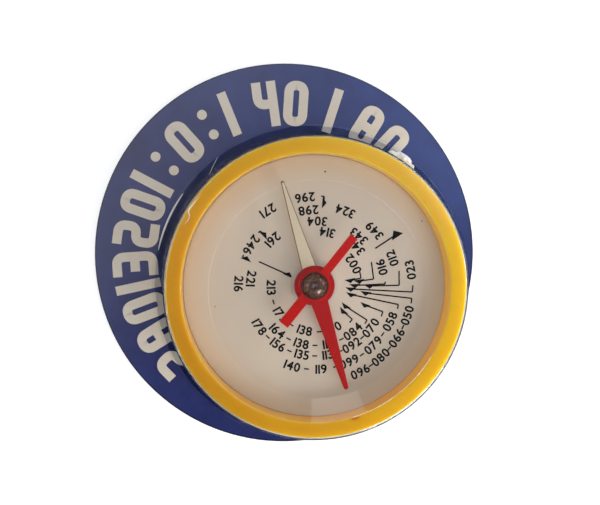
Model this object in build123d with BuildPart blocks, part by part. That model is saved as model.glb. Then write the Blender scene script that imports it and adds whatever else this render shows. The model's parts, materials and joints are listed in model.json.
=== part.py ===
"""Qibla compass under a clear formed cover, on a round backing card.

Millimetres, +Z up, with the origin at the centre of the card's back. The compass stands off the card's centre
towards -Y, so that the card shows as a broad crescent on the +Y side.
"""
import os
from math import cos, radians, tan

from build123d import *

# Backing card
card_diameter = 66.0
card_thickness = 0.8
card_edge_margin = 0.28

# Case: a moulded dish with a broad flat rim and a foot ring under its floor
case_diameter = 50.0
case_height = 10.0
rim_width = 2.6
rim_thickness = 2.0
rim_outer_radius = 0.2
rim_inner_radius = 0.3
dish_depth = 4.5
case_wall = 1.2
floor_thickness = 1.2
wall_draft = 3.0

# Clear cover: one formed sheet over the case, with a flange on the card
sheet_thickness = 0.3
cover_clearance = 0.1
cover_draft = 3.0
top_flat_diameter = 35.8
bevel_rise = 1.3
flange_width = 2.1
crown_bend_radius = 0.25
shoulder_bend_radius = 0.3
flange_bend_radius = 0.7
glue_thickness = 0.15
glue_inset = 0.2

# Dial
dial_thickness = 0.5
dial_clearance = 0.03

# Pivot: a little off the dish's centre, towards the card's middle
pivot_offset = 0.4

# Pivot bush: a flanged bush through the dial and the floor, headed over underneath
bush_flange_diameter = 8.0
bush_flange_thickness = 0.45
bush_stem_diameter = 3.2
bush_boss_diameter = 4.0
bush_nose_diameter = 2.0
bush_boss_height = 0.4
bush_head_diameter = 5.2
bush_head_thickness = 0.6
bush_hole_clearance = 0.05

# Pivot pin
pin_diameter = 1.0
pin_point_length = 1.3
pin_tip_diameter = 0.12
pin_hole_depth = 2.7
pin_clearance = 0.01
pin_play = 0.06

# Needle: a stamped blade, a cross bar on its hub and a domed cap through both
needle_height = 1.6
blade_thickness = 0.4
blade_hub_diameter = 6.8
red_arm_length = 18.4
red_root_width = 3.3
red_tip_width = 0.8
cream_arm_length = 18.3
cream_root_width = 2.9
cream_tip_width = 0.55
blade_edge_chamfer = 0.08
pointer_thickness = 0.4
pointer_hub_diameter = 5.4
pointer_long_arm = 10.5
pointer_long_width = 1.45
pointer_short_arm = 8.3
pointer_short_width = 1.75
pointer_edge_chamfer = 0.08
cap_diameter = 4.6
cap_brim_thickness = 0.25
cap_dome_diameter = 4.1
cap_dome_height = 1.5
cap_stem_diameter = 3.2
cap_collar_diameter = 4.2
cap_collar_thickness = 0.3
cap_hole_clearance = 0.05

# Jewel: a hard cup that runs on the pin's point
jewel_diameter = 2.2
jewel_height = 1.05
jewel_cup_diameter = 1.4
jewel_cup_depth = 0.65
jewel_seat_depth = 0.75
jewel_clearance = 0.02

# Bearings at rest, clockwise from +Y as seen from above
red_arm_bearing = 204.8
pointer_bearing = 80.9

# Heights, from the card's back upwards
card_top = card_thickness
rim_top = card_top + case_height
floor_top = rim_top - dish_depth
floor_bottom = floor_top - floor_thickness
dial_top = floor_top + dial_thickness
bush_flange_top = dial_top + bush_flange_thickness
bush_top = bush_flange_top + bush_boss_height
blade_bottom = dial_top + needle_height
blade_top = blade_bottom + blade_thickness
pointer_top = blade_top + pointer_thickness
cap_brim_top = pointer_top + cap_brim_thickness
cap_top = cap_brim_top + cap_dome_height
cap_bottom = blade_bottom - cap_collar_thickness
jewel_top = pointer_top + jewel_seat_depth
jewel_bottom = jewel_top - jewel_height
pin_tip = jewel_bottom + jewel_cup_depth - pin_play
pin_bottom = bush_top - pin_hole_depth
land_bottom = rim_top + cover_clearance
flange_bottom = card_top + glue_thickness

# Radii that more than one piece follows
case_radius = case_diameter / 2
dish_mouth_radius = case_radius - rim_width
cover_wall_radius = case_radius + cover_clearance
cover_foot_radius = cover_wall_radius + (land_bottom - flange_bottom) * tan(radians(cover_draft))
flange_radius = cover_foot_radius + flange_width

# The compass stands as near to the card's edge as the cover's foot allows
compass_offset = card_diameter / 2 - cover_foot_radius - sheet_thickness - card_edge_margin

# Axes of the case and of the pivot, with the planes of their revolved sections (X outwards, Y up)
pivot_y = pivot_offset - compass_offset
compass_axis = Axis((0, -compass_offset, 0), (0, 0, 1))
section_plane = Plane(origin=(0, -compass_offset, 0), x_dir=(1, 0, 0), z_dir=(0, -1, 0))
pivot_axis = Axis((0, pivot_y, 0), (0, 0, 1))
pivot_section = Plane(origin=(0, pivot_y, 0), x_dir=(1, 0, 0), z_dir=(0, -1, 0))


def level(height):
    """Level plane at a height, centred on the case's axis."""
    return Plane(origin=(0, -compass_offset, height))


def pivot_level(height):
    """Level plane at a height, centred on the pivot's axis."""
    return Plane(origin=(0, pivot_y, height))


def arm_plane(height, bearing):
    """Level plane at a height on the pivot's axis, with its X along a bearing."""
    return pivot_level(height).rotated((0, 0, 90 - bearing))


def dish_radius(height):
    """Inside radius of the drafted dish wall at a height."""
    return dish_mouth_radius - (rim_top - height) * tan(radians(wall_draft))


def cup_radius(height):
    """Outside radius of the drafted dish wall at a height."""
    return dish_radius(height) + case_wall / cos(radians(wall_draft))


os.makedirs("parts", exist_ok=True)

# Backing card: a cut board disc
with BuildPart() as backing_card:
    with BuildSketch():
        Circle(card_diameter / 2)
    extrude(amount=card_thickness)
backing_card.part.label = "backing_card"
export_step(backing_card.part, "parts/backing_card.step")

# Case dish: a revolved wall section, with the bush's hole through its floor
with BuildPart() as case_dish:
    with BuildSketch(section_plane) as dish_section:
        with BuildLine():
            Polyline(
                (0, floor_top),
                (dish_radius(floor_top), floor_top),
                (dish_mouth_radius, rim_top),
                (case_radius, rim_top),
                (case_radius, rim_top - rim_thickness),
                (cup_radius(rim_top - rim_thickness), rim_top - rim_thickness),
                (cup_radius(card_top), card_top),
                (dish_radius(card_top), card_top),
                (dish_radius(floor_bottom), floor_bottom),
                (0, floor_bottom),
                close=True,
            )
        make_face()
        fillet(dish_section.vertices().group_by(Axis.Y)[-1].sort_by(Axis.X)[-1], rim_outer_radius)
        fillet(dish_section.vertices().group_by(Axis.Y)[-1].sort_by(Axis.X)[0], rim_inner_radius)
    revolve(axis=compass_axis)
    with BuildSketch(pivot_level(floor_bottom)):
        Circle(bush_stem_diameter / 2 + bush_hole_clearance)
    extrude(amount=floor_thickness, mode=Mode.SUBTRACT)
case_dish.part.label = "case_dish"
export_step(case_dish.part, "parts/case_dish.step")

# Clear cover: the forming face's line, thickened outwards, revolved and trimmed flush with the card's edge
with BuildPart() as clear_cover:
    with BuildSketch(section_plane):
        with BuildLine():
            FilletPolyline(
                (0, land_bottom + bevel_rise),
                (top_flat_diameter / 2, land_bottom + bevel_rise),
                (dish_mouth_radius, land_bottom),
                (cover_wall_radius, land_bottom),
                (cover_foot_radius, flange_bottom),
                (flange_radius, flange_bottom),
                radius=[crown_bend_radius, crown_bend_radius, shoulder_bend_radius, flange_bend_radius],
            )
            offset(amount=sheet_thickness, side=Side.LEFT)
        make_face()
    revolve(axis=compass_axis)
    with BuildSketch(Plane.XY):
        Circle(card_diameter / 2)
    extrude(amount=land_bottom + bevel_rise + sheet_thickness, mode=Mode.INTERSECT)
clear_cover.part.label = "clear_cover"
export_step(clear_cover.part, "parts/clear_cover.step")

# Flange adhesive: a thin film between the flange and the card
with BuildPart() as flange_adhesive:
    with BuildSketch(level(card_top)):
        Circle(flange_radius - glue_inset)
        Circle(cover_foot_radius, mode=Mode.SUBTRACT)
    extrude(amount=glue_thickness)
    with BuildSketch(Plane.XY.offset(card_top)):
        Circle(card_diameter / 2)
    extrude(amount=glue_thickness, mode=Mode.INTERSECT)
flange_adhesive.part.label = "flange_adhesive"
export_step(flange_adhesive.part, "parts/flange_adhesive.step")

# Dial plate: a disc on the dish's floor
with BuildPart() as dial_plate:
    with BuildSketch(level(floor_top)):
        Circle(dish_radius(floor_top) - dial_clearance)
        with Locations((0, pivot_offset)):
            Circle(bush_stem_diameter / 2 + bush_hole_clearance, mode=Mode.SUBTRACT)
    extrude(amount=dial_thickness)
dial_plate.part.label = "dial_plate"
export_step(dial_plate.part, "parts/dial_plate.step")

# Pivot bush: flange on the dial, boss above, stem through the floor and a head below
with BuildPart() as pivot_bush:
    with BuildSketch(pivot_section):
        with BuildLine():
            Polyline(
                (0, bush_top),
                (bush_nose_diameter / 2, bush_top),
                (bush_boss_diameter / 2, bush_flange_top),
                (bush_flange_diameter / 2, bush_flange_top),
                (bush_flange_diameter / 2, dial_top),
                (bush_stem_diameter / 2, dial_top),
                (bush_stem_diameter / 2, floor_bottom),
                (bush_head_diameter / 2, floor_bottom),
                (bush_stem_diameter / 2, floor_bottom - bush_head_thickness),
                (0, floor_bottom - bush_head_thickness),
                close=True,
            )
        make_face()
    revolve(axis=pivot_axis)
    with BuildSketch(pivot_level(bush_top)):
        Circle(pin_diameter / 2 + pin_clearance)
    extrude(amount=-pin_hole_depth, mode=Mode.SUBTRACT)
pivot_bush.part.label = "pivot_bush"
export_step(pivot_bush.part, "parts/pivot_bush.step")

# Pivot pin: a rod with a long ground point and a rounded tip
with BuildPart() as pivot_pin:
    with BuildSketch(pivot_section):
        with BuildLine():
            Polyline(
                (0, pin_bottom),
                (pin_diameter / 2, pin_bottom),
                (pin_diameter / 2, pin_tip - pin_point_length),
                (pin_tip_diameter / 2, pin_tip - pin_tip_diameter / 2),
            )
            TangentArc((0, pin_tip), (pin_tip_diameter / 2, pin_tip - pin_tip_diameter / 2), tangent=(1, 0))
            Line((0, pin_tip), (0, pin_bottom))
        make_face()
    revolve(axis=pivot_axis)
pivot_pin.part.label = "pivot_pin"
export_step(pivot_pin.part, "parts/pivot_pin.step")

# Needle blade: a hub disc with two tapered arms, stamped from one strip
with BuildPart() as needle_blade:
    with BuildSketch(arm_plane(blade_bottom, red_arm_bearing)):
        Circle(red_root_width / 2)
        with Locations((red_arm_length - red_tip_width / 2, 0)):
            Circle(red_tip_width / 2)
        make_hull()
    extrude(amount=blade_thickness)
    with BuildSketch(arm_plane(blade_bottom, red_arm_bearing + 180)):
        Circle(cream_root_width / 2)
        with Locations((cream_arm_length - cream_tip_width / 2, 0)):
            Circle(cream_tip_width / 2)
        make_hull()
    extrude(amount=blade_thickness)
    with BuildSketch(pivot_level(blade_bottom)):
        Circle(blade_hub_diameter / 2)
    extrude(amount=blade_thickness)
    chamfer(needle_blade.faces().sort_by(Axis.Z)[-1].edges(), blade_edge_chamfer)
    with BuildSketch(pivot_level(blade_bottom)):
        Circle(cap_stem_diameter / 2 + cap_hole_clearance)
    extrude(amount=blade_thickness, mode=Mode.SUBTRACT)
needle_blade.part.label = "needle_blade"
export_step(needle_blade.part, "parts/needle_blade.step")

# Qibla pointer: a square-ended cross bar with a ring, flat on the blade's hub
with BuildPart() as qibla_pointer:
    with BuildSketch(arm_plane(blade_top, pointer_bearing)):
        Circle(pointer_hub_diameter / 2)
        with Locations((pointer_long_arm / 2, 0)):
            Rectangle(pointer_long_arm, pointer_long_width)
        with Locations((-pointer_short_arm / 2, 0)):
            Rectangle(pointer_short_arm, pointer_short_width)
    extrude(amount=pointer_thickness)
    chamfer(qibla_pointer.faces().sort_by(Axis.Z)[-1].edges(), pointer_edge_chamfer)
    with BuildSketch(pivot_level(blade_top)):
        Circle(cap_stem_diameter / 2 + cap_hole_clearance)
    extrude(amount=pointer_thickness, mode=Mode.SUBTRACT)
qibla_pointer.part.label = "qibla_pointer"
export_step(qibla_pointer.part, "parts/qibla_pointer.step")

# Jewel cap: a domed head with a tubular stem, headed over under the blade
with BuildPart() as jewel_cap:
    with BuildSketch(pivot_section):
        with BuildLine():
            Polyline(
                (0, cap_top),
                (0, cap_bottom),
                (cap_collar_diameter / 2, cap_bottom),
                (cap_collar_diameter / 2, blade_bottom),
                (cap_stem_diameter / 2, blade_bottom),
                (cap_stem_diameter / 2, pointer_top),
                (cap_diameter / 2, pointer_top),
                (cap_diameter / 2, cap_brim_top),
                (cap_dome_diameter / 2, cap_brim_top),
            )
            TangentArc((0, cap_top), (cap_dome_diameter / 2, cap_brim_top), tangent=(1, 0))
        make_face()
    revolve(axis=pivot_axis)
    with BuildSketch(pivot_level(jewel_top)):
        Circle(jewel_diameter / 2 + jewel_clearance)
    extrude(amount=cap_bottom - jewel_top, mode=Mode.SUBTRACT)
jewel_cap.part.label = "jewel_cap"
export_step(jewel_cap.part, "parts/jewel_cap.step")

# Jewel: a short cylinder with a ground conical cup in its underside
with BuildPart() as jewel:
    with BuildSketch(pivot_section):
        with BuildLine():
            Polyline(
                (0, jewel_top),
                (jewel_diameter / 2, jewel_top),
                (jewel_diameter / 2, jewel_bottom),
                (jewel_cup_diameter / 2, jewel_bottom),
                (0, jewel_bottom + jewel_cup_depth),
                close=True,
            )
        make_face()
    revolve(axis=pivot_axis)
jewel.part.label = "jewel"
export_step(jewel.part, "parts/jewel.step")
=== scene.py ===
"""Looks of a qibla compass on its round card: finishes, print, glue and light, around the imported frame."""
import json
import math

import bmesh
import bpy
from mathutils import Matrix, Vector, noise


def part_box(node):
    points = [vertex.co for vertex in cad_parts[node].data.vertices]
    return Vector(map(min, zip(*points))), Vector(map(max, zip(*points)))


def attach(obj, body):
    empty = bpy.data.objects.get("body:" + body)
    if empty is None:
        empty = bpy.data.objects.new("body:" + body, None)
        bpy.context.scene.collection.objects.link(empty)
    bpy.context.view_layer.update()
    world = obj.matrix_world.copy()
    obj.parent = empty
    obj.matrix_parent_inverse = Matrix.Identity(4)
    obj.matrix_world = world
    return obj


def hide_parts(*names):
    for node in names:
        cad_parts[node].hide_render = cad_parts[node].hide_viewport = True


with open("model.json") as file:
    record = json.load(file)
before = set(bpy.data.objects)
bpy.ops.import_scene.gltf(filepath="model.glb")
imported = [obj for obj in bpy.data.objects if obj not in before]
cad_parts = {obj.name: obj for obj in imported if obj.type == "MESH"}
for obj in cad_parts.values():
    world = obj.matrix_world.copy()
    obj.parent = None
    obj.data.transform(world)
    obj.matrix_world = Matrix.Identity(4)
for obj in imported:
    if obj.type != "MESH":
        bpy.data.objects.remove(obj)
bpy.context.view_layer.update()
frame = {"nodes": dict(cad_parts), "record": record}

MM = 0.001

# Heights of the cover's outer faces over the glue film and the rim, and how far the print lies off centre
flange_height = 0.32 * MM
land_height = 0.405 * MM
print_shift = 0.2 * MM

# Places read from the frame
hinge = frame["record"]["behaviour"]["joints"][0]
pivot_centre = Vector((hinge["pos_m"][0], hinge["pos_m"][1], 0.0))
case_low, case_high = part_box("case_dish")
case_radius = (case_high[0] - case_low[0]) / 2
compass_centre = Vector(((case_low[0] + case_high[0]) / 2, (case_low[1] + case_high[1]) / 2, 0.0))
print_centre = compass_centre - Vector((0.0, print_shift, 0.0))
card_centre = Vector((0.0, 0.0, 0.0))
card_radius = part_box("backing_card")[1][0]
card_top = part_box("backing_card")[1][2]
dial_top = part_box("dial_plate")[1][2]
rim_top = case_high[2]
flange_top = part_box("flange_adhesive")[1][2] + flange_height
land_top = rim_top + land_height

# Bearings, in degrees clockwise from +Y as seen from above
cream_arm_bearing = 24.8
north_bearing = 99.0
# Bearing of the rim's painted light: the yellow is painted lighter towards it, standing in for the windows'
# stronger light on that side
lit_side_bearing = 110.0

# Outline of the blade's cream arm: half the root's width, how much it narrows per length, and the darker band
# along its edges
arm_root = 1.45 * MM
arm_taper = 0.0653
arm_end = 17.95 * MM
hub_radius = 3.4 * MM
arm_edge_band = 0.12 * MM
enamel_waver = 0.1 * MM

# Marks of the sheets: a thin band along the card's edge that is coloured nearly black, and the zone at the
# dial's edge that is painted warmer and darker, as glow and shade from the dish's wall
dark_edge_band = (0.35 * MM, 0.1 * MM)
wall_glow_zone = (17.3 * MM, 20.6 * MM)
clear_index = 1.45

# Printed marks on the dial
ink_thickness = 0.02 * MM
ink_sink = 0.01 * MM
dial_figure_height = 1.6 * MM
dial_figure_weight = 0.028
dial_figure_gap = 0.15 * MM
dial_number_pitch = 4.25 * MM
dial_line_width = 0.24 * MM
dial_dash = 0.84 * MM
leader_head_length, leader_head_width, leader_neck = 1.7 * MM, 0.85 * MM, 1.2 * MM
north_foot, north_shaft, north_tip = 12.0 * MM, 4.2 * MM, 17.6 * MM
north_line_width, north_head_length, north_head_width = 0.26 * MM, 2.0 * MM, 1.5 * MM

# Printed marks on the card
card_figure_height = 7.8 * MM
card_figure_width = 4.2 * MM
card_stroke = 1.6 * MM
card_figure_gap = 1.0 * MM
card_corner_radius = 1.3 * MM
card_dot = 1.7 * MM
card_baseline = 22.3 * MM

# Steps in a rounded corner and across a ridge
curve_steps = 8


def linear(hex_colour):
    """Linear RGBA of an sRGB hex colour such as #c8911c."""
    channels = [int(hex_colour[i:i + 2], 16) / 255 for i in (1, 3, 5)]
    return [c / 12.92 if c <= 0.04045 else ((c + 0.055) / 1.055) ** 2.4 for c in channels] + [1.0]


def add(tree, kind, settings=None, links=None):
    """Adds a node, with its properties or socket values, and links from other nodes' outputs."""
    node = tree.nodes.new(kind)
    for key, value in (settings or {}).items():
        if isinstance(key, str) and hasattr(node, key):
            setattr(node, key, value)
        else:
            node.inputs[key].default_value = value
    for key, source in (links or {}).items():
        tree.links.new(source, node.inputs[key])
    return node


def start_material(name, settings):
    """A new material with one Principled shader; returns it with its tree, shader and Object coordinates."""
    material = bpy.data.materials.new(name)
    material.use_nodes = True
    tree = material.node_tree
    tree.nodes.clear()
    shader = add(tree, "ShaderNodeBsdfPrincipled", settings)
    add(tree, "ShaderNodeOutputMaterial", links={"Surface": shader.outputs[0]})
    return material, tree, shader, add(tree, "ShaderNodeTexCoord").outputs["Object"]


def per_mm(size_mm):
    """Texture scale at which one repeat takes a size in millimetres."""
    return 1000.0 / size_mm


def clouds(tree, place, size_mm, detail, settings=None):
    """Noise value over the piece, with lumps of a size in millimetres."""
    settings = {"Scale": per_mm(size_mm), "Detail": detail, **(settings or {})}
    return add(tree, "ShaderNodeTexNoise", settings, {"Vector": place}).outputs["Fac"]


def calc(tree, operation, *terms):
    """Value of a math node whose terms are numbers or other nodes' outputs."""
    fixed = {i: term for i, term in enumerate(terms) if not isinstance(term, bpy.types.NodeSocket)}
    linked = {i: term for i, term in enumerate(terms) if i not in fixed}
    return add(tree, "ShaderNodeMath", {"operation": operation, **fixed}, linked).outputs["Value"]


def span(tree, value, low, high, to_low=0.0, to_high=1.0):
    """A value carried from one range to another, and held at its ends."""
    settings = {"From Min": low, "From Max": high, "To Min": to_low, "To Max": to_high}
    return add(tree, "ShaderNodeMapRange", settings, {"Value": value}).outputs["Result"]


def blend(tree, factor, first, second):
    """Colour between two colours, each a hex value or another node's output."""
    settings, links = {"data_type": "RGBA"}, {"Factor": factor}
    for socket, colour in (("A", first), ("B", second)):
        if isinstance(colour, str):
            settings[socket] = linear(colour)
        else:
            links[socket] = colour
    return add(tree, "ShaderNodeMix", settings, links).outputs["Result"]


def two_tone(tree, value, dark, light):
    """Colour that goes from dark to light over the middle of a noise value."""
    ramp = add(tree, "ShaderNodeValToRGB", links={"Fac": value})
    for element, position, colour in zip(ramp.color_ramp.elements, (0.3, 0.7), (dark, light)):
        element.position = position
        element.color = linear(colour)
    return ramp.outputs["Color"]


def from_axis(tree, place, centre):
    """Distance from an upright axis through a centre."""
    flat = add(tree, "ShaderNodeVectorMath", {"operation": "MULTIPLY", 1: (1, 1, 0)}, {0: place})
    settings = {"operation": "DISTANCE", 1: centre}
    return add(tree, "ShaderNodeVectorMath", settings, {0: flat.outputs["Vector"]}).outputs["Value"]


def along_bearing(tree, place, centre, bearing):
    """Distance from a centre along a bearing."""
    angle = math.radians(bearing)
    offset = add(tree, "ShaderNodeVectorMath", {"operation": "SUBTRACT", 1: centre}, {0: place})
    settings = {"operation": "DOT_PRODUCT", 1: (math.sin(angle), math.cos(angle), 0)}
    return add(tree, "ShaderNodeVectorMath", settings, {0: offset.outputs["Vector"]}).outputs["Value"]


def height_of(tree, place):
    """Height above the card's back."""
    return add(tree, "ShaderNodeSeparateXYZ", links={"Vector": place}).outputs["Z"]


def colour_with(tree, shader, colour):
    """Gives a shader its colour."""
    tree.links.new(colour, shader.inputs["Base Color"])


def roughen(tree, shader, value, strength, depth_mm):
    """Bumps a shader's surface by a noise value, to a depth in millimetres."""
    settings = {"Strength": strength, "Distance": depth_mm * MM}
    bump = add(tree, "ShaderNodeBump", settings, {"Height": value})
    tree.links.new(bump.outputs["Normal"], shader.inputs["Normal"])


def printed_board():
    """Coated board, offset printed in navy and varnished.

    The varnish gives a soft gloss, the solid ink mottles a little and carries fine specks, the colour goes
    nearly black in a thin band along the outer edge, and the cut edge and the back are bare grey board.
    """
    material, tree, shader, place = start_material("coated_board_navy_print", {"Roughness": 0.22, "IOR": 1.5})
    navy = two_tone(tree, clouds(tree, place, 7.0, 4.0, {"Roughness": 0.6}), "#23285a", "#2c3670")
    cells = add(tree, "ShaderNodeTexVoronoi", {"Scale": per_mm(3.2)}, {"Vector": place})
    speck = calc(tree, "LESS_THAN", cells.outputs["Distance"], 0.025)
    dusty = blend(tree, speck, navy, "#6d7396")
    reach = from_axis(tree, place, card_centre)
    rim = span(tree, reach, card_radius - dark_edge_band[0], card_radius - dark_edge_band[1])
    edged = blend(tree, rim, dusty, "#12152c")
    front = calc(tree, "GREATER_THAN", height_of(tree, place), card_top - 0.1 * MM)
    colour_with(tree, shader, blend(tree, front, "#77726a", edged))
    roughen(tree, shader, clouds(tree, place, 0.5, 3.0), 0.05, 0.05)
    return material


def moulded_yellow():
    """Polystyrene, injection moulded in golden yellow: glossy, slightly translucent, with faint flow marks.

    The colour is painted paler on the side towards the right-hand windows and deeper orange on the far side:
    painted light.
    """
    material, tree, shader, place = start_material(
        "moulded_yellow_polystyrene",
        {"Roughness": 0.12, "IOR": 1.5, "Specular IOR Level": 0.35, "Subsurface Weight": 0.8,
         "Subsurface Scale": 4.5 * MM, "Subsurface Radius": (1.0, 0.6, 0.06)})
    flow = clouds(tree, place, 9.0, 3.0, {"Distortion": 0.6})
    # Painted light: the rim's colour goes from deeper orange to paler yellow towards the lit side, with the
    # flow marks' noise on top
    toward_lit_side = along_bearing(tree, place, compass_centre, lit_side_bearing)
    share = span(tree, toward_lit_side, -case_radius, case_radius, -0.15, 0.85)
    flow_and_painted_light = calc(tree, "MULTIPLY_ADD", flow, 0.3, share)
    colour_with(tree, shader, blend(tree, flow_and_painted_light, "#cd971e", "#e6bb26"))
    roughen(tree, shader, clouds(tree, place, 1.2, 2.0), 0.05, 0.05)
    return material


def dial_sheet(name, dark, light, edge):
    """White plastic, satin and a little aged: warm, with broad faint clouding, painted warmer and darker
    towards its edge as glow and shade from the dish's wall.
    """
    material, tree, shader, place = start_material(name, {"Roughness": 0.42, "IOR": 1.49})
    tint = two_tone(tree, clouds(tree, place, 14.0, 4.0), dark, light)
    # Painted light: towards the rim the colour goes over to the edge colour, a painted warm glow and shade
    # from the dish's yellow wall
    outer = span(tree, from_axis(tree, place, compass_centre), *wall_glow_zone)
    colour_with(tree, shader, blend(tree, outer, tint, edge))
    roughen(tree, shader, clouds(tree, place, 0.4, 2.0), 0.04, 0.03)
    return material


def printing_ink(name, dark, light, roughness, index):
    """Screen-printed ink: dense, with the small changes of density that a screen leaves."""
    material, tree, shader, place = start_material(name, {"Roughness": roughness, "IOR": index})
    colour_with(tree, shader, blend(tree, clouds(tree, place, 1.5, 3.0), dark, light))
    return material


def enamelled_blade():
    """Blade steel, dipped in enamel: deep red on hub and one arm, cream on the other, darker in a thin band
    along its edges and at its tip.
    """
    material, tree, shader, place = start_material("enamelled_blade_steel", {"Roughness": 0.34, "IOR": 1.36})
    along = along_bearing(tree, place, pivot_centre, cream_arm_bearing)
    across = along_bearing(tree, place, pivot_centre, cream_arm_bearing + 90)
    waver = clouds(tree, place, 0.8, 2.0)
    limit = calc(tree, "MULTIPLY_ADD", waver, enamel_waver, hub_radius - 0.06 * MM)
    outside = calc(tree, "GREATER_THAN", from_axis(tree, place, pivot_centre), limit)
    cream = calc(tree, "MULTIPLY", outside, calc(tree, "GREATER_THAN", along, 0.0))
    spread = calc(tree, "MULTIPLY_ADD", along, arm_taper, calc(tree, "ABSOLUTE", across))
    near_arm_edge = calc(tree, "GREATER_THAN", spread, arm_root - arm_edge_band)
    dark = calc(tree, "MAXIMUM", near_arm_edge, calc(tree, "GREATER_THAN", along, arm_end))
    pale = blend(tree, dark, "#d6c2a4", "#6d5f4e")
    colour_with(tree, shader, blend(tree, cream, "#ac100b", pale))
    roughen(tree, shader, waver, 0.08, 0.05)
    return material


def red_enamel():
    """Strip brass, sprayed with bright red enamel: smooth and glossy, with a little orange peel."""
    material, tree, shader, place = start_material("sprayed_red_enamel", {"Roughness": 0.28, "IOR": 1.36})
    peel = clouds(tree, place, 0.6, 2.0)
    colour_with(tree, shader, blend(tree, peel, "#bb120b", "#c8160c"))
    roughen(tree, shader, peel, 0.1, 0.05)
    return material


def spun_metal(name, colour, roughness, metallic, lacquer):
    """Ground steel or bronzed and lacquered brass, turned: fine wear varies the reflection's sharpness.

    The clear lacquer gives the highlight a white core.
    """
    material, tree, shader, place = start_material(
        name, {"Base Color": linear(colour), "Metallic": metallic, "IOR": 1.7, "Coat Weight": lacquer,
               "Coat Roughness": 0.16, "Coat IOR": 1.55})
    rough = span(tree, clouds(tree, place, 0.7, 4.0), 0.0, 1.0, roughness * 0.7, roughness * 1.4)
    tree.links.new(rough, shader.inputs["Roughness"])
    return material


def clear_plastic(name, tint, roughness, wave_mm, strength, wetted_below=0.0, wetted_index=1.02):
    """Clear sheet, vacuum formed, or set clear glue: glass-like and slightly wavy; it lets the lamps through.

    Below a height the glue wets its faces, so they hardly mirror.
    """
    material, tree, shader, place = start_material(
        name, {"Base Color": linear(tint), "Roughness": roughness, "IOR": clear_index,
               "Transmission Weight": 1.0})
    dry_above = wetted_below + 0.1 * MM
    index = span(tree, height_of(tree, place), wetted_below, dry_above, wetted_index, clear_index)
    tree.links.new(index, shader.inputs["IOR"])
    roughen(tree, shader, clouds(tree, place, wave_mm, 2.0), strength, 0.1)
    path = add(tree, "ShaderNodeLightPath")
    lets_through = calc(tree, "MAXIMUM", path.outputs["Is Shadow Ray"], path.outputs["Is Diffuse Ray"])
    open_air = add(tree, "ShaderNodeBsdfTransparent", {"Color": linear(tint)})
    shaders = {0: lets_through, 1: shader.outputs[0], 2: open_air.outputs[0]}
    mix = add(tree, "ShaderNodeMixShader", links=shaders)
    tree.links.new(mix.outputs[0], tree.get_output_node("ALL").inputs["Surface"])
    return material


def milky_glue_and_glints():
    """Hot-melt glue, squeezed out and set: milky, half clear and lumpy; its milky white is partly the glue's
    own colour, partly painted highlights of a crumple.
    """
    material, tree, shader, place = start_material(
        "hot_melt_glue_and_glints",
        {"Base Color": linear("#f3f1ec"), "Roughness": 0.3, "IOR": 1.48, "Transmission Weight": 0.12,
         "Subsurface Weight": 0.3, "Subsurface Scale": 0.4 * MM})
    roughen(tree, shader, clouds(tree, place, 0.5, 4.0), 0.5, 0.1)
    return material


def painted_highlight_material():
    """Milky white, rough sheet: painted highlights, standing in for the light that the clear sheet's bends
    mirror along the flange.
    """
    material, tree, shader, place = start_material(
        "painted_highlight_sheet",
        {"Roughness": 0.35, "IOR": clear_index, "Subsurface Weight": 0.2, "Subsurface Scale": 0.2 * MM})
    colour_with(tree, shader, blend(tree, clouds(tree, place, 0.8, 3.0), "#c9cdd6", "#f4f5f7"))
    return material


def finish_piece(name, bm, material, body="case", smooth=True):
    """Makes a piece from a bmesh: an object at the origin that rides on a body."""
    bmesh.ops.recalc_face_normals(bm, faces=bm.faces)
    mesh = bpy.data.meshes.new(name)
    bm.to_mesh(mesh)
    bm.free()
    mesh.materials.append(material)
    for polygon in mesh.polygons:
        polygon.use_smooth = smooth
    piece = bpy.data.objects.new(name, mesh)
    bpy.context.scene.collection.objects.link(piece)
    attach(piece, body)
    return piece


def on_bearing(centre, bearing, radius, height, turn=0.0):
    """Place on a bearing about a centre: local Y outwards, local X clockwise, then turned by some degrees."""
    return (Matrix.Translation((centre.x, centre.y, height)) @ Matrix.Rotation(math.radians(-bearing), 4, "Z")
            @ Matrix.Translation((0, radius, 0)) @ Matrix.Rotation(math.radians(turn), 4, "Z"))


def glyph(character, weight):
    """Mesh of one printed character, one unit thick."""
    curve = bpy.data.curves.new("glyph", "FONT")
    curve.body = character
    curve.resolution_u = 4
    curve.offset = weight
    curve.extrude = 0.5
    holder = bpy.data.objects.new("glyph", curve)
    bpy.context.scene.collection.objects.link(holder)
    bpy.context.view_layer.update()
    mesh = bpy.data.meshes.new_from_object(holder.evaluated_get(bpy.context.evaluated_depsgraph_get()))
    bpy.data.objects.remove(holder)
    bpy.data.curves.remove(curve)
    return mesh


def printed_figures(weight):
    """Meshes of the ten figures, one unit high and centred on their middles, with the width of each."""
    meshes = {c: glyph(c, weight) for c in "0123456789"}
    low = min(v.co.y for v in meshes["0"].vertices)
    tall = max(v.co.y for v in meshes["0"].vertices) - low
    widths = {}
    for c, mesh in meshes.items():
        left = min(v.co.x for v in mesh.vertices)
        right = max(v.co.x for v in mesh.vertices)
        mesh.transform(Matrix.Translation((-(left + right) / 2, -low - tall / 2, 0)))
        mesh.transform(Matrix.Diagonal((1 / tall, 1 / tall, 1, 1)))
        widths[c] = (right - left) / tall
    return meshes, widths


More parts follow.
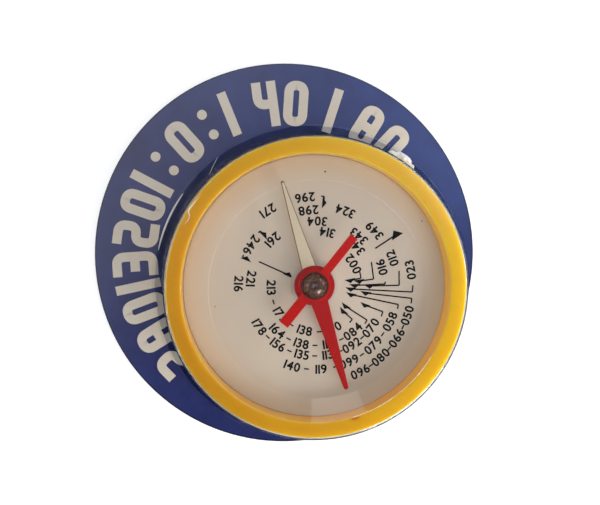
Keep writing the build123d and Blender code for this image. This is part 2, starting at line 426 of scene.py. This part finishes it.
def stamp_number(bm, figures, text, radius, bearing, level):
    """Prints a number on the dial along an arc, centred on a bearing, with its feet outwards."""
    meshes, widths = figures
    size = Matrix.Diagonal((dial_figure_height, dial_figure_height, ink_thickness + ink_sink, 1))
    total = sum(widths[c] for c in text) * dial_figure_height + dial_figure_gap * (len(text) - 1)
    at = total / 2
    for c in text:
        width = widths[c] * dial_figure_height
        turned = bearing + math.degrees((at - width / 2) / radius)
        copy = meshes[c].copy()
        copy.transform(on_bearing(print_centre, turned, radius, level, 180) @ size)
        bm.from_mesh(copy)
        bpy.data.meshes.remove(copy)
        at -= width + dial_figure_gap


def stamp_bar(bm, place, length, width):
    """Adds a flat printed bar along local Y, from a place outwards."""
    size = Matrix.Diagonal((width, length, ink_thickness + ink_sink, 1))
    bmesh.ops.create_cube(bm, size=1.0, matrix=place @ Matrix.Translation((0, length / 2, 0)) @ size)


def stamp_dot(bm, place, diameter):
    """Adds a flat printed dot."""
    bmesh.ops.create_cone(bm, cap_ends=True, segments=32, radius1=diameter / 2, radius2=diameter / 2,
                          depth=ink_thickness + ink_sink, matrix=place)


def stamp_head(bm, place, length, width):
    """Adds a printed arrow head whose point lies at a place, pointing along local Y."""
    size = Matrix.Diagonal((width / math.sqrt(3), length / 1.5, ink_thickness + ink_sink, 1))
    pointing = Matrix.Rotation(math.radians(90), 4, "Z")
    bmesh.ops.create_cone(bm, cap_ends=True, segments=3, radius1=1.0, radius2=1.0, depth=1.0,
                          matrix=place @ Matrix.Translation((0, -length / 1.5, 0)) @ size @ pointing)


def stamp_row(bm, figures, radius, first, last, level):
    """Prints a row of bearings along an arc of the dial, with dashes between them."""
    count = max(1, int(math.radians(last - first) * radius / dial_number_pitch))
    step = (last - first) / count
    for i in range(count):
        bearing = first + (i + 0.5) * step
        stamp_number(bm, figures, "%03d" % (round(bearing) % 360), radius, north_bearing + bearing, level)
        if i:
            dash = on_bearing(print_centre, north_bearing + first + i * step, radius, level, 90)
            stamp_bar(bm, dash @ Matrix.Translation((0, -dial_dash / 2, 0)), dial_dash, dial_line_width)


def stamp_leader(bm, bearing, outer, inner, elbow, level):
    """Prints a leader arrow towards the hub, with an elbow of some degrees at its outer end."""
    shaft = on_bearing(print_centre, bearing, inner, level)
    neck = shaft @ Matrix.Translation((0, leader_neck, 0))
    stamp_bar(bm, neck, outer - inner - leader_neck, dial_line_width)
    stamp_head(bm, shaft @ Matrix.Rotation(math.pi, 4, "Z"), leader_head_length, leader_head_width)
    if elbow:
        corner = on_bearing(print_centre, bearing, outer, level, -90 if elbow > 0 else 90)
        stamp_bar(bm, corner, math.radians(abs(elbow)) * outer, dial_line_width)


def dial_print(ink):
    """Black print on the dial: rows of plain bearings, leader arrows to the hub and a north arrow."""
    bm = bmesh.new()
    level = dial_top + (ink_thickness - ink_sink) / 2
    figures = printed_figures(dial_figure_weight)
    # Rows: radius in mm, first and last bearing from north
    rows = [
        (16.4, 14, 32), (16.4, 43, 103), (13.8, 313, 335), (13.8, 341, 357), (13.9, 5, 20), (14.0, 48, 150),
        (11.2, 288, 320), (11.3, 327, 359), (11.7, 4, 29), (11.7, 59, 189), (9.5, 303, 326), (9.7, 329, 365),
        (9.9, 70, 178), (7.5, 350, 373), (7.6, 81, 232), (13.1, 201, 231), (11.1, 207, 235), (13.1, 237, 256),
        (10.9, 244, 278), (15.3, 260, 282), (15.3, 287, 305), (13.1, 290, 305),
    ]
    for radius, first, last in rows:
        stamp_row(bm, figures, radius * MM, first, last, level)
    stamp_bar(bm, on_bearing(print_centre, north_bearing, north_foot, level), north_shaft, north_line_width)
    tip = on_bearing(print_centre, north_bearing, north_tip, level)
    stamp_head(bm, tip, north_head_length, north_head_width)
    # Stray specks of ink: radius in mm, bearing, diameter in mm
    for radius, bearing, size in ((19.4, 46.9, 0.3), (21.2, 100.8, 0.22), (17.2, 301.0, 0.2)):
        stamp_dot(bm, on_bearing(compass_centre, bearing, radius * MM, level), size * MM)
    # Leader arrows: bearing from north, outer and inner radius in mm, degrees to the elbow's end
    leaders = [
        (22, 7.8, 4.8, -8), (25.3, 9.9, 6.3, -17), (30.7, 11.8, 5.5, -2), (32, 14.2, 8.0, -10),
        (36.2, 16.5, 4.8, -4), (40, 16.5, 7.4, 3), (45.2, 14.4, 5.0, 3), (53.4, 12.2, 7.8, 4),
        (66, 10.4, 4.9, 4), (74.7, 8.3, 5.1, 5), (237.5, 10.6, 4.0, 0), (235.5, 13.4, 11.6, 2),
        (258.5, 13.4, 11.4, -2), (308.2, 15.4, 13.2, -2),
    ]
    for bearing, outer, inner, elbow in leaders:
        stamp_leader(bm, north_bearing + bearing, outer * MM, inner * MM, elbow, level)
    return finish_piece("dial_print", bm, ink, smooth=False)


def rounded_path(corners, radius, closed):
    """Path through corner points with its corners rounded."""
    path = []
    last = len(corners) - 1
    for i, corner in enumerate(corners):
        if not closed and i in (0, last):
            path.append(corner)
            continue
        start = corner + (corners[i - 1] - corner).normalized() * radius
        end = corner + (corners[(i + 1) % len(corners)] - corner).normalized() * radius
        for step in range(curve_steps + 1):
            t = step / curve_steps
            path.append(start * (1 - t) ** 2 + corner * 2 * t * (1 - t) + end * t ** 2)
    return path


def skin(bm, rings, closed):
    """Joins rings of points into a solid that closes on itself or has capped ends."""
    count = len(rings[0])
    for a, b in zip(rings, rings[1:] + rings[:1] if closed else rings[1:]):
        for k in range(count):
            after = (k + 1) % count
            bm.faces.new((a[k], a[after], b[after], b[k]))
    if not closed:
        bm.faces.new(rings[0])
        bm.faces.new(rings[-1])


def stamp_stroke(bm, path, width, closed, place):
    """Adds a flat printed stroke of one width along a path."""
    half = (ink_thickness + ink_sink) / 2
    rings = []
    for i, point in enumerate(path):
        before = path[i - 1] if closed or i else point
        after = path[(i + 1) % len(path)] if closed or i < len(path) - 1 else point
        run = (after - before).normalized()
        side = Vector((-run.y, run.x)) * width / 2
        corners = [(point + side, half), (point - side, half), (point - side, -half), (point + side, -half)]
        rings.append([bm.verts.new(place @ Vector((p.x, p.y, z))) for p, z in corners])
    skin(bm, rings, closed)


def bold_figures():
    """Centre lines of the bold figures, from the foot upwards: whether closed, and the corner points."""
    edge = card_stroke / 2
    left, right = edge - card_figure_width / 2, card_figure_width / 2 - edge
    foot, waist, head = edge, card_figure_height / 2, card_figure_height - edge
    top = card_figure_height
    loop = (True, [(left, foot), (right, foot), (right, head), (left, head)])
    lines = {
        "0": [loop],
        "2": [(False, [(left - edge, head), (right, head), (right, waist), (left, waist), (left, foot),
                       (right + edge, foot)])],
        "3": [(False, [(left - edge, head), (right, head), (right, foot), (left - edge, foot)]),
              (False, [(right - edge, waist), (left, waist)])],
        "4": [(False, [(left, top), (left, waist), (right - edge, waist)]),
              (False, [(right, top), (right, 0)])],
        "8": [loop, (False, [(right - edge, waist), (left + edge, waist)])],
    }
    return {c: [(closed, [Vector(p) for p in points]) for closed, points in strokes]
            for c, strokes in lines.items()}


def card_print(ink):
    """Cream print on the card: bold plain bearings round the broad crescent, with bars and dots between."""
    bm = bmesh.new()
    level = card_top + (ink_thickness - ink_sink) / 2
    figures = bold_figures()
    middle = card_baseline + card_figure_height / 2
    step = math.degrees((card_figure_width + card_figure_gap) / middle)
    for bearing in range(-80, 81, 40):
        text = str(bearing % 360)
        for i, c in enumerate(text):
            turned = bearing + (i - (len(text) - 1) / 2) * step
            place = on_bearing(card_centre, turned, card_baseline, level)
            for closed, points in figures[c]:
                path = rounded_path(points, card_corner_radius, closed)
                stamp_stroke(bm, path, card_stroke, closed, place)
    for bearing in range(-60, 61, 40):
        stamp_bar(bm, on_bearing(card_centre, bearing, card_baseline, level), card_figure_height, card_stroke)
    for bearing in (-11, 11):
        for share in (0.25, 0.75):
            radius = card_baseline + card_figure_height * share
            stamp_dot(bm, on_bearing(card_centre, bearing, radius, level), card_dot)
    return finish_piece("card_print", bm, ink, smooth=False)


def glue_lump(glue):
    """Squeezed-out glue at the cover's foot: a crumpled lump between two smaller ones."""
    bm = bmesh.new()
    # Bearing, radius, then half sizes along, across and upwards in mm
    lumps = [(78.3, 26.75, 1.9, 0.9, 1.5), (81.6, 26.5, 0.9, 0.6, 1.0), (74.6, 26.4, 1.2, 0.55, 1.2)]
    lump_centre = card_top + 0.45 * MM
    crumple_size, crumple_depth, crumple_seed = 0.6 * MM, 0.3 * MM, 3
    for bearing, radius, along, across, tall in lumps:
        place = on_bearing(compass_centre, bearing, radius * MM, lump_centre)
        size = Matrix.Diagonal((along * MM, across * MM, tall * MM, 1))
        bmesh.ops.create_icosphere(bm, subdivisions=4, radius=1.0, matrix=place @ size)
    # Without a fixed seed the vector noise starts from the clock, and the lump changes from run to run
    noise.seed_set(crumple_seed)
    for vert in bm.verts:
        vert.co += noise.noise_vector(vert.co / crumple_size) * crumple_depth
        vert.co.z = max(vert.co.z, card_top + 0.02 * MM)
    return finish_piece("squeezed_out_glue", bm, glue, smooth=False)


def glue_film(glue):
    """Clear glue between flange and card, a hair thinner than its gap, with a slightly wavy outline."""
    thinning, wave_share, wave_size = 0.8, 0.012, 3 * MM
    node = frame["nodes"]["flange_adhesive"]
    bm = bmesh.new()
    bm.from_mesh(node.data)
    bm.transform(node.matrix_world)
    middle = (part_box("flange_adhesive")[0][2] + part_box("flange_adhesive")[1][2]) / 2
    for vert in bm.verts:
        vert.co.z = middle + (vert.co.z - middle) * thinning
        reach = vert.co - compass_centre
        wave = noise.noise(Vector((reach.x, reach.y, 0)) / wave_size)
        shrink = 1 - wave_share * (0.5 + 0.5 * wave)
        vert.co.x = compass_centre.x + reach.x * shrink
        vert.co.y = compass_centre.y + reach.y * shrink
    piece = finish_piece("clear_glue_film", bm, glue, smooth=False)
    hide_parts("flange_adhesive")
    return piece


def ridge(bm, path, width, height):
    """Adds a low rounded ridge along a path, thinner towards its ends."""
    rings = []
    for i, point in enumerate(path):
        run = (path[min(i + 1, len(path) - 1)] - path[max(i - 1, 0)]).normalized()
        side = Vector((-run.y, run.x, 0.0)).normalized()
        share = math.sin(math.pi * (i + 0.5) / len(path)) ** 0.5
        ring = []
        for k in range(curve_steps + 1):
            angle = math.pi * k / curve_steps
            rise = Vector((0.0, 0.0, math.sin(angle) * height * share))
            ring.append(bm.verts.new(point + side * math.cos(angle) * width / 2 * share + rise))
        rings.append(ring)
    skin(bm, rings, False)


def cover_crease(sheet):
    """Crease in the cover's land: a low wavering ridge that runs out over the shoulder."""
    bm = bmesh.new()
    bend_start, bend_radius = 24.8 * MM, 0.6 * MM
    corner_radius, width, height = 0.3 * MM, 0.2 * MM, 0.06 * MM
    # Corners: radius in mm and bearing
    course = [(24.5, 350.6), (24.6, 348.0), (24.65, 345.6), (24.75, 343.4), (24.1, 342.1), (24.0, 340.2),
              (24.2, 338.3)]
    corners = []
    for radius, bearing in course:
        over = max(0.0, radius * MM - bend_start)
        drop = bend_radius - math.sqrt(bend_radius ** 2 - over ** 2)
        corners.append(on_bearing(compass_centre, bearing, radius * MM, land_top - drop).translation)
    ridge(bm, rounded_path(corners, corner_radius, False), width, height)
    return finish_piece("cover_crease", bm, sheet)


def highlight_folds(sheet):
    """Thin low ridges on the flange, coloured milky white as painted highlights of the sheet's bend."""
    bm = bmesh.new()
    # First and last bearing, near and far radius, width and height in mm
    folds = [(324.5, 347, 27.3, 27.3, 0.34, 0.12), (358.7, 365.5, 26.0, 27.4, 0.06, 0.02)]
    steps = 24
    for first, last, near, far, width, height in folds:
        path = []
        for i in range(steps + 1):
            bearing = first + (last - first) * i / steps
            radius = near + (far - near) * i / steps
            path.append(on_bearing(compass_centre, bearing, radius * MM, flange_top).translation)
        ridge(bm, path, width * MM, height * MM)
    return finish_piece("highlight_folds", bm, sheet)


def rim_stain(ink):
    """Small brown smear on the inner edge of the dish's rim."""
    bearing, radius, length, narrowing = 205.6, 22.75 * MM, 1.5 * MM, 0.24
    bm = bmesh.new()
    place = on_bearing(compass_centre, bearing, radius, rim_top)
    stamp_dot(bm, place @ Matrix.Diagonal((1.0, narrowing, 1.0, 1.0)), length)
    return finish_piece("rim_stain", bm, ink, smooth=False)


def dress_nodes(clear_sheet):
    """Puts the finishes on the frame's own pieces."""
    finishes = {
        "backing_card": printed_board(),
        "clear_cover": clear_sheet,
        "case_dish": moulded_yellow(),
        # The dial's edge colour is the painted glow and shade from the dish's wall; the bush's edge colour
        # equals its light colour
        "dial_plate": dial_sheet("printed_white_sheet", "#d6c2ab", "#dfccb6", "#d6bd9f"),
        "pivot_bush": dial_sheet("moulded_white_nylon", "#cfc1af", "#d8cbbb", "#d8cbbb"),
        "pivot_pin": spun_metal("ground_steel", "#8e8c8a", 0.25, 1.0, 0.0),
        "needle_blade": enamelled_blade(),
        "qibla_pointer": red_enamel(),
        "jewel_cap": spun_metal("bronzed_lacquered_brass", "#503024", 0.27, 0.6, 0.85),
        "jewel": clear_plastic("ground_jewel_glass", "#f3f0f2", 0.02, 2.0, 0.01),
    }
    for node, material in finishes.items():
        frame["nodes"][node].material_slots[0].material = material


def aim(item, place, target, up):
    """Turns a camera or lamp at a place towards a target, with an up direction."""
    forward = (target - place).normalized()
    right = forward.cross(up).normalized()
    turned = Matrix((right, right.cross(forward), -forward)).transposed().to_4x4()
    item.matrix_world = Matrix.Translation(place) @ turned


def set_camera():
    """Camera close above the card, a little on the crescent's side of the compass."""
    place, target = Vector((-0.04, 15.01, 180.0)) * MM, Vector((1.9, -0.5, 10.2)) * MM
    roll = math.radians(47.98)
    lens = bpy.data.cameras.new("camera")
    lens.sensor_width = 36.0
    lens.lens = 61.87
    lens.clip_start = 0.01
    camera = bpy.data.objects.new("camera", lens)
    bpy.context.scene.collection.objects.link(camera)
    aim(camera, place, target, Vector((math.cos(roll), math.sin(roll), 0.0)))
    bpy.context.scene.camera = camera


def add_lamp(name, place, target, size, radiance, up, colour="#ffffff", mirrored=True):
    """Adds a soft square lamp of a given brightness; places and sizes in millimetres.

    A lamp that isn't mirrored only lights: no gloss shows its shape.
    """
    light = bpy.data.lights.new(name, "AREA")
    light.shape = "RECTANGLE"
    light.size, light.size_y = size[0] * MM, size[1] * MM
    light.color = linear(colour)[:3]
    light.energy = radiance * math.pi * light.size * light.size_y
    lamp = bpy.data.objects.new(name, light)
    lamp.visible_camera = False
    lamp.visible_glossy = mirrored
    lamp.visible_transmission = mirrored
    bpy.context.scene.collection.objects.link(lamp)
    aim(lamp, Vector(place) * MM, Vector(target) * MM, Vector(up))


def by_compass(bearing, elevation, distance):
    """Place of a lamp, in millimetres, by its bearing, its elevation and its distance."""
    flat = distance * math.cos(math.radians(elevation))
    return (flat * math.sin(math.radians(bearing)), flat * math.cos(math.radians(bearing)),
            distance * math.sin(math.radians(elevation)))


def set_sky():
    """Soft light from all sides and little from straight above."""
    level_at_horizon, level_at_zenith, strength = 0.8, 0.03, 0.84
    world = bpy.data.worlds.new("studio")
    bpy.context.scene.world = world
    world.use_nodes = True
    tree = world.node_tree
    tree.nodes.clear()
    place = add(tree, "ShaderNodeTexCoord")
    height = height_of(tree, place.outputs["Generated"])
    ramp = add(tree, "ShaderNodeValToRGB", links={"Fac": height})
    ramp.color_ramp.elements[0].color = (*[level_at_horizon] * 3, 1.0)
    ramp.color_ramp.elements[1].color = (*[level_at_zenith] * 3, 1.0)
    for position, level in ((0.5, 0.8), (0.72, 0.4), (0.9, 0.2), (0.955, 0.04)):
        ramp.color_ramp.elements.new(position).color = (*[level] * 3, 1.0)
    sky = add(tree, "ShaderNodeBackground", {"Strength": strength}, {"Color": ramp.outputs["Color"]})
    add(tree, "ShaderNodeOutputWorld", links={"Surface": sky.outputs[0]})


def set_lamps():
    """Windows round the compass, white cards low beside it, a ceiling and two cool skylights."""
    # Bearing, elevation, distance and size in mm, brightness, and whether gloss shows the lamp
    around = {
        "window_right": (118, 18, 150, (150, 18), 11.5, False),
        "window_front": (184, 25, 160, (90, 60), 9.5, True),
        "window_left": (317, 20, 400, (140, 90), 2.6, True),
        "window_top": (10, 20, 400, (60, 90), 2.0, True),
        "window_below": (207, 43, 500, (130, 210), 0.9, True),
        "white_card_right": (108, 5, 300, (320, 60), 6.0, True),
        "white_card_left": (312, 5, 300, (640, 60), 2.2, True),
    }
    middle = (0, 0, 5)
    for name, (bearing, elevation, distance, size, radiance, mirrored) in around.items():
        place = by_compass(bearing, elevation, distance)
        add_lamp(name, place, middle, size, radiance, (0, 0, 1), mirrored=mirrored)
    # Place and size in mm, brightness, direction of the lamp's side, colour; these face straight down
    overhead = {
        "ceiling": ((-118, 113, 600), (410, 200), 1.9, (-0.26, 0.97, 0), "#ffffff"),
        "skylight": ((182, -85, 600), (140, 130), 4.6, (0, 1, 0), "#a9c6ff"),
        "skylight_far": ((132, 57, 598), (140, 150), 2.6, (-0.5, 0.87, 0), "#c4d4ff"),
    }
    for name, (place, size, radiance, side, colour) in overhead.items():
        add_lamp(name, place, (place[0], place[1], 0), size, radiance, side, colour)


def set_floor():
    """Plain pale table, white to the eye, that keeps the object's shadow."""
    half_size, lift_level = 1.5, 0.65
    bm = bmesh.new()
    bmesh.ops.create_grid(bm, x_segments=1, y_segments=1, size=half_size)
    mesh = bpy.data.meshes.new("floor")
    bm.to_mesh(mesh)
    bm.free()
    floor = bpy.data.objects.new("floor", mesh)
    bpy.context.scene.collection.objects.link(floor)
    material, tree, shader, _ = start_material(
        "matt_pale_table",
        {"Base Color": linear("#c4c4c4"), "Roughness": 0.8, "Emission Color": linear("#ffffff")})
    path = add(tree, "ShaderNodeLightPath")
    lift = calc(tree, "MULTIPLY", path.outputs["Is Camera Ray"], lift_level)
    tree.links.new(lift, shader.inputs["Emission Strength"])
    mesh.materials.append(material)


clear_sheet = clear_plastic("vacuum_formed_clear_sheet", "#fbfcfc", 0.03, 9.0, 0.02, flange_top, 1.13)
dress_nodes(clear_sheet)
dial_print(printing_ink("black_screen_ink", "#070505", "#0e0b0a", 0.5, 1.3))
card_print(printing_ink("cream_offset_ink", "#d4cab8", "#ded5c4", 0.35, 1.48))
# The glue's grey tint darkens the card seen under the flange: partly the glue's own tint, partly painted
# shade of the compass on the card
glue_film(clear_plastic("grey_glue_and_painted_shade", "#d3d6e0", 0.12, 1.5, 0.05, flange_top))
glue_lump(milky_glue_and_glints())
cover_crease(clear_plastic("creased_clear_sheet", "#fbfcfc", 0.4, 9.0, 0.02))
highlight_folds(painted_highlight_material())
rim_stain(printing_ink("brown_smear", "#a8541a", "#b8651f", 0.4, 1.48))
set_floor()
set_sky()
set_lamps()
set_camera()
bpy.context.scene.view_settings.view_transform = "Standard"
